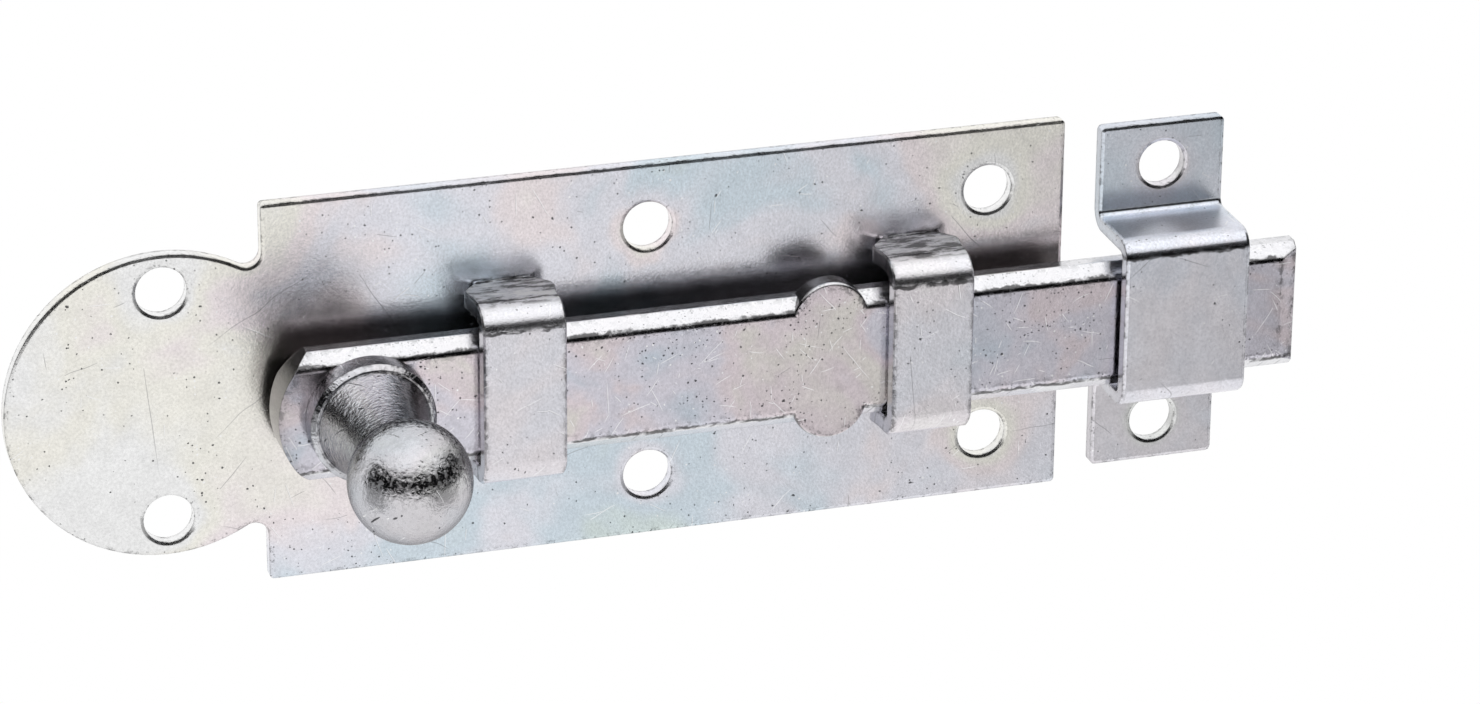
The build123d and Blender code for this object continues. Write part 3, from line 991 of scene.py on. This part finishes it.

# %% [markdown]
# ## The sliding bar
#
# The bar is handled and rubbed most. Its film shows rose and straw, light scratches cross each other in
# patches, and specks gather along its edges. The long bevels were drawn smooth and stay bright and clear.
# A ragged dark line runs where the front turns into them, apart from the ears, which were pressed out
# through it. The sheared face of its left end is grey. The front beside the knob there is painted darker,
# as painted shade of the knob. What faces the plate on the bar's back is painted nearly black, as painted
# shade, while the nose beyond the plate stays clean. The back is never seen straight on. A dark stripe
# could be painted on the plate instead, but the bright plate mirrors the painted back above the bar by
# itself, and the stripe then moves with the bar.

# %% Bar finish
bar_tint = 1.0
bevel_tint = 0.25
bevel_bright = (0.84, 0.85, 0.87)
bevel_limits = (0.3, 0.5)
bar_middle = (bar_low.z + bar_high.z) / 2
bar_steel, parts = plated_steel("plated_bar", (0.74, 0.72, 0.74), 3.4, patch=75.0, film=(0.12, 0.72),
                                roughness=(0.16, 0.21), grain_depth=0.010 * MM, pits=0.08, edge_pits=0.5,
                                glints=0.07, smudge=0.35, light_lines=0.95, tear=1.05,
                                edge_reach=1.8 * MM, edge_turn=0.015, edge_round=0.3 * MM)
tree = parts["tree"]
along = axis_value(parts, "Object", "X")
from_middle = calc(tree, "ABSOLUTE", calc(tree, "SUBTRACT", axis_value(parts, "Object", "Z"), bar_middle))
bevel = facing(parts, "Z", *bevel_limits)
join(tree, remap(tree, bevel, 0.0, 1.0, bar_tint, bevel_tint), parts["coat"].inputs["Strength"])
lay_over(parts, bevel, strength=0.6, tone=bevel_bright)
nodes["slide_bolt"].material_slots[0].material = bar_steel
print("bar: middle at", round(bar_middle / MM, 2), "mm")

# %% Painted shade on the bar's back
painted_shade_black = (0.07, 0.066, 0.063)
painted_shade_sides = (7.4 * MM, 6.6 * MM)  # fades out between these distances from the middle
painted_shade_past_plate = (7.0 * MM, 2.0 * MM)  # and between these beyond the plate's end
back_limits = (0.2, 0.5)
plate_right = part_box("back_plate")[1].x
facing_plate = remap(tree, axis_value(parts, "Normal", "Y"), *back_limits)
inside_edges = remap(tree, from_middle, *painted_shade_sides)
over_plate = remap(tree, along, *(plate_right + reach for reach in painted_shade_past_plate))
painted_back_shade = calc(tree, "MULTIPLY", calc(tree, "MULTIPLY", facing_plate, inside_edges), over_plate)
# Painted shade: what faces the plate on the bar's back is laid nearly black, so the plate mirrors a dark band
# above the bar.
lay_over(parts, painted_back_shade, strength=0.96, tone=painted_shade_black)
print("painted back shade ends", round((plate_right + painted_shade_past_plate[0]) / MM, 1), "mm along the bar")

# %% Line along the bar's front, and its ends
front_line_out = 0.5 * MM  # beyond the flat front
ear_rise = 0.1 * MM
ear_margin = 0.4 * MM
out_of_sight = 20.0 * MM  # moves the line off the bar at the ears
right_of_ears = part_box("right_keeper")[1].x
front_half = front_top("slide_bolt", right_of_ears) - bar_middle
bar_points = [point.co for point in nodes["slide_bolt"].data.vertices]
bar_top = max(point.z for point in bar_points if point.x > right_of_ears)
ear_places = [point.x for point in bar_points if point.z > bar_top + ear_rise]
ear_middle = (min(ear_places) + max(ear_places)) / 2
ear_half = (max(ear_places) - min(ear_places)) / 2
from_ears = calc(tree, "ABSOLUTE", calc(tree, "SUBTRACT", along, ear_middle))
pushed_off = remap(tree, from_ears, ear_half, ear_half + ear_margin, out_of_sight, 0.0)
off_edge = calc(tree, "SUBTRACT", from_middle, front_half + front_line_out)
ragged_dark_line(parts, calc(tree, "ADD", off_edge, pushed_off), strength=0.85)

knob_shade_reach = 2.0 * MM  # past the flange's left side
sheared_limits = (-0.3, -0.6)
sheared = remap(tree, axis_value(parts, "Normal", "X"), *sheared_limits)
lay_over(parts, sheared, strength=0.85)
# Painted shade of the knob: the front is laid darker from just past the flange's left side to the bar's left
# end.
painted_knob_shade = remap(tree, along, knob_low.x + knob_shade_reach, bar_low.x)
lay_over(parts, painted_knob_shade, strength=0.3)
print("ears at", round(ear_middle / MM, 2), "mm, flat front", round(2 * front_half / MM, 2), "mm wide")

# %% [markdown]
# ## The strike
#
# The strike is a fresher piece from the same bath: bluish, even and hardly scratched. It was bent as the
# keepers were, but from thinner sheet. It has one ragged line above its front, which is partly opened
# plating and partly painted dark reflection of the top bend, and legs that are only a little duller.

# %% Strike finish
strike_leg_roughness = 0.38
strike_line_rise = 0.2 * MM
strike_halo = 2.5 * MM
strike_film_lost = 0.3
strike_steel, parts = plated_steel("plated_strike", (0.81, 0.83, 0.86), 4.7, tint=0.7, film=(0.36, 0.66),
                                   drain=-6.0, roughness=(0.2, 0.24), grain_depth=0.008 * MM, pits=0.02,
                                   edge_pits=0.35, glints=0.03, smudge=0.1, light_lines=0.15)
tree = parts["tree"]
lay_over(parts, facing(parts, "X", *shorn_limits), strength=0.35)
roughen(parts, facing(parts, "Z", *leg_limits), strike_leg_roughness)
strike_front_top = front_top("strike")
upward = axis_value(parts, "Object", "Z")
# A ragged dark line above the front, at the top bend only: partly opened plating, partly painted dark
# reflection.
ragged_dark_line(parts, calc(tree, "SUBTRACT", upward, strike_front_top + strike_line_rise), strength=0.9)
halos = halos_round(parts, strike_holes, strike_hole_radius, strike_halo)
join(tree, calc(tree, "MULTIPLY", halos, -strike_film_lost), parts["thickness"].inputs["Extra"])
nodes["strike"].material_slots[0].material = strike_steel
print("strike: flat front up to", round(strike_front_top / MM, 2), "mm")

# %% [markdown]
# ## The knob, turned on a lathe of nodes
#
# The knob was turned in one piece, so its shape follows one rule: a profile carried round an axis.
# Spinning a mesh would do that once, but Geometry Nodes keep the rule open: the sizes are named inputs,
# and the rings that the tool left come from the length along the profile. Straight stretches are lines,
# the neck is a shallow curve and the ball an arc. Curve to Mesh carries the profile round a small circle,
# the spindle, and points that meet are merged, which closes the ball and the rivet behind the bar.

# %% Lathe tree
lathe_sizes = ["Bar thickness", "Rivet radius", "Rivet height", "Rivet bevel", "Shank radius",
               "Flange radius", "Flange thickness", "Flange edge", "Neck base", "Neck tip", "Neck hollow",
               "Ball radius", "Ball reach", "Ring pitch", "Ring depth"]
lathe, given, result = start_group(
    "knob_lathe",
    [(size, "Float", 0.0) for size in lathe_sizes]
    + [("Seat", "Vector", None), ("Steps round", "Int", 128), ("Finish", "Material", None)],
    [("Geometry", "Geometry")],
    kind="GeometryNodeTree",
)
spindle = 1.0 * MM


def minus(first, second):
    """One socket or number less another, in the lathe."""
    return calc(lathe, "SUBTRACT", first, second)


def plus(first, second):
    """Two sockets or numbers together, in the lathe."""
    return calc(lathe, "ADD", first, second)


def profile_point(radius, height):
    """A point of the profile: Curve to Mesh lays x outwards from the spindle, and y down."""
    point = add_node(lathe, "ShaderNodeCombineXYZ")
    join(lathe, minus(radius, spindle), point.inputs["X"])
    join(lathe, minus(0.0, height), point.inputs["Y"])
    return point.outputs[0]


def profile_curve(kind, points, values=None, **settings):
    """A curve node through points given by socket name."""
    curve = add_node(lathe, kind, values, **settings)
    for key, point in points.items():
        join(lathe, point, curve.inputs[key])
    return curve.outputs["Curve"]


bar_back = minus(0.0, given["Bar thickness"])
rivet_back = minus(bar_back, given["Rivet height"])
tip_squared = calc(lathe, "MULTIPLY", given["Neck tip"], given["Neck tip"])
ball_squared = calc(lathe, "MULTIPLY", given["Ball radius"], given["Ball radius"])
neck_end = minus(given["Ball reach"], calc(lathe, "SQRT", minus(ball_squared, tip_squared)))
straight_points = [
    profile_point(0.0, rivet_back),
    profile_point(minus(given["Rivet radius"], given["Rivet bevel"]), rivet_back),
    profile_point(given["Rivet radius"], plus(rivet_back, given["Rivet bevel"])),
    profile_point(given["Rivet radius"], bar_back),
    profile_point(given["Shank radius"], bar_back),
    profile_point(given["Shank radius"], 0.0),
    profile_point(given["Flange radius"], 0.0),
    profile_point(given["Flange radius"], minus(given["Flange thickness"], given["Flange edge"])),
    profile_point(minus(given["Flange radius"], given["Flange edge"]), given["Flange thickness"]),
    profile_point(given["Neck base"], given["Flange thickness"]),
]
lines = [profile_curve("GeometryNodeCurvePrimitiveLine", {"Start": start, "End": end})
         for start, end in zip(straight_points, straight_points[1:])]
print("straight stretches:", len(lines))

# %% Neck, ball and rings
neck_steps = 110
ball_steps = 180
merge_gap = 0.002 * MM
pull_for_hollow = 2.0  # the curve goes in half as far as its middle point
neck_middle = calc(lathe, "MULTIPLY", plus(given["Neck base"], given["Neck tip"]), 0.5)
neck_pull = minus(neck_middle, calc(lathe, "MULTIPLY", given["Neck hollow"], pull_for_hollow))
neck_half = calc(lathe, "MULTIPLY", plus(given["Flange thickness"], neck_end), 0.5)
neck_tip = profile_point(given["Neck tip"], neck_end)
neck = profile_curve("GeometryNodeCurveQuadraticBezier", {
    "Start": straight_points[-1],
    "Middle": profile_point(neck_pull, neck_half),
    "End": neck_tip,
}, {"Resolution": neck_steps})
ball = profile_curve("GeometryNodeCurveArc", {
    "Start": neck_tip,
    "Middle": profile_point(given["Ball radius"], given["Ball reach"]),
    "End": profile_point(0.0, plus(given["Ball reach"], given["Ball radius"])),
}, {"Resolution": ball_steps}, mode="POINTS")
round_parts = add_node(lathe, "GeometryNodeJoinGeometry")
for curve in (ball, neck):
    join(lathe, curve, round_parts.inputs[0])
measured = add_node(lathe, "GeometryNodeCaptureAttribute", domain="POINT")
measured.capture_items.new("FLOAT", "Length")
join(lathe, round_parts.outputs[0], measured.inputs["Geometry"])
join(lathe, add_node(lathe, "GeometryNodeSplineParameter").outputs["Length"], measured.inputs["Length"])
profile = add_node(lathe, "GeometryNodeJoinGeometry")
for curve in [measured.outputs["Geometry"], *reversed(lines)]:
    join(lathe, curve, profile.inputs[0])

circle = add_node(lathe, "GeometryNodeCurvePrimitiveCircle", {"Radius": spindle}, mode="RADIUS")
join(lathe, given["Steps round"], circle.inputs["Resolution"])
swept = add_node(lathe, "GeometryNodeCurveToMesh")
join(lathe, circle.outputs["Curve"], swept.inputs["Curve"])
join(lathe, profile.outputs[0], swept.inputs["Profile Curve"])
closed = add_node(lathe, "GeometryNodeMergeByDistance", {"Distance": merge_gap})
join(lathe, swept.outputs[0], closed.inputs["Geometry"])
outward = add_node(lathe, "GeometryNodeFlipFaces")
join(lathe, closed.outputs[0], outward.inputs[0])

turns = calc(lathe, "DIVIDE", measured.outputs["Length"], given["Ring pitch"])
wave = calc(lathe, "SINE", calc(lathe, "MULTIPLY", turns, math.tau))
ring_offset = add_node(lathe, "ShaderNodeVectorMath", operation="SCALE")
join(lathe, add_node(lathe, "GeometryNodeInputNormal").outputs[0], ring_offset.inputs[0])
join(lathe, calc(lathe, "MULTIPLY", wave, given["Ring depth"]), ring_offset.inputs["Scale"])
ringed = add_node(lathe, "GeometryNodeSetPosition")
join(lathe, outward.outputs[0], ringed.inputs["Geometry"])
join(lathe, ring_offset.outputs[0], ringed.inputs["Offset"])
print("round stretches:", neck_steps, "steps in the neck,", ball_steps, "in the ball")

# %% Seat, shading and finish of the lathe
sharp_angle = math.radians(30)
smooth = add_node(lathe, "GeometryNodeSetShadeSmooth", domain="FACE")
join(lathe, ringed.outputs[0], smooth.inputs["Geometry"])
sharp = add_node(lathe, "GeometryNodeSetShadeSmooth", {"Shade Smooth": False}, domain="EDGE")
fold = add_node(lathe, "GeometryNodeInputMeshEdgeAngle").outputs["Unsigned Angle"]
corner = calc(lathe, "GREATER_THAN", fold, sharp_angle)
join(lathe, smooth.outputs[0], sharp.inputs["Geometry"])
join(lathe, corner, sharp.inputs["Selection"])
seated = add_node(lathe, "GeometryNodeTransform", {"Rotation": (math.radians(90), 0.0, 0.0)})
join(lathe, sharp.outputs[0], seated.inputs["Geometry"])
join(lathe, given["Seat"], seated.inputs["Translation"])
real = add_node(lathe, "GeometryNodeRealizeInstances")
join(lathe, seated.outputs[0], real.inputs[0])
finished = add_node(lathe, "GeometryNodeSetMaterial")
join(lathe, real.outputs[0], finished.inputs["Geometry"])
join(lathe, given["Finish"], finished.inputs["Material"])
join(lathe, finished.outputs[0], result["Geometry"])
report_group(lathe)

# %% [markdown]
# ## The knob's finish and its mesh
#
# The knob is smoother than the sheet but not a mirror: the plating lies over the turned rings in coarse
# grains, so reflections have a torn edge. One roughness for the ball would leave its dark reflection
# whole, so some grains on the ball are duller than others, which breaks it into specks. The tree is run
# once on an empty object, its result becomes a plain mesh, and the modifier goes, because the piece has
# to travel with the bar as an ordinary mesh.

# %% Knob finish
rim_dimming = (0.4, 0.4, 0.41, 1.0)  # keeps the ball's rim from turning white
dull_grains = (0.49, 0.58)
dull_roughness = 0.4
ball_ends = (12.0 * MM, 10.5 * MM)  # the dull grains fade in between these, behind the ball's front
knob_steel, parts = plated_steel("polished_knob", (0.66, 0.66, 0.68), 5.2, tint=0.3, roughness=(0.08, 0.12),
                                 grain_scale=1900.0, grain_depth=0.080 * MM, edge_pits=0.2, smudge=0.3,
                                 light_lines=0.2, dark_lines=0.0, tear=1.0)
tree = parts["tree"]
parts["shader"].inputs["Specular Tint"].default_value = rim_dimming
grains = remap(tree, parts["grain"].outputs["Speckle"], *dull_grains)
on_ball = remap(tree, axis_value(parts, "Object", "Y"), *(knob_low.y + depth for depth in ball_ends))
roughen(parts, calc(tree, "MULTIPLY", grains, on_ball), dull_roughness)
print("knob finish:", len(tree.nodes), "nodes")

# %% Knob sizes
ball_radius = 6.65 * MM
knob_seat = Vector(((knob_low.x + knob_high.x) / 2, bar_low.y, (knob_low.z + knob_high.z) / 2))
knob_values = {
    "Bar thickness": bar_high.y - bar_low.y,
    "Rivet radius": 4.0 * MM,
    "Rivet height": knob_high.y - bar_high.y,
    "Rivet bevel": 0.8 * MM,
    "Shank radius": 3.0 * MM,
    "Flange radius": (knob_high.x - knob_low.x) / 2,
    "Flange thickness": 3.0 * MM,
    "Flange edge": 0.5 * MM,
    "Neck base": 6.2 * MM,
    "Neck tip": 4.7 * MM,
    "Neck hollow": 0.35 * MM,
    "Ball radius": ball_radius,
    "Ball reach": bar_low.y - knob_low.y - ball_radius,
    "Ring pitch": 0.55 * MM,
    "Ring depth": 0.003 * MM,
    "Seat": knob_seat,
    "Finish": knob_steel,
}
print("knob seat in mm:", [round(side / MM, 2) for side in knob_seat])

# %% Knob mesh
knob = bpy.data.objects.new("turned_knob", bpy.data.meshes.new("blank"))
bpy.context.scene.collection.objects.link(knob)
turning = knob.modifiers.new("turning", "NODES")
turning.node_group = lathe
for socket in lathe.interface.items_tree:
    if socket.name in knob_values:
        turning[socket.identifier] = knob_values[socket.name]
evaluated = knob.evaluated_get(bpy.context.evaluated_depsgraph_get())
knob_mesh = bpy.data.meshes.new_from_object(evaluated)
knob.modifiers.remove(turning)
knob.data = knob_mesh
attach(knob, "bolt")
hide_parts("knob")

knob_mesh.calc_loop_triangles()
knob_volume = sum(
    knob_mesh.vertices[a].co.dot(knob_mesh.vertices[b].co.cross(knob_mesh.vertices[c].co)) / 6
    for a, b, c in (triangle.vertices for triangle in knob_mesh.loop_triangles))
print("knob:", len(knob_mesh.loop_triangles), "triangles,", round(knob_volume / MM**3), "cubic mm")
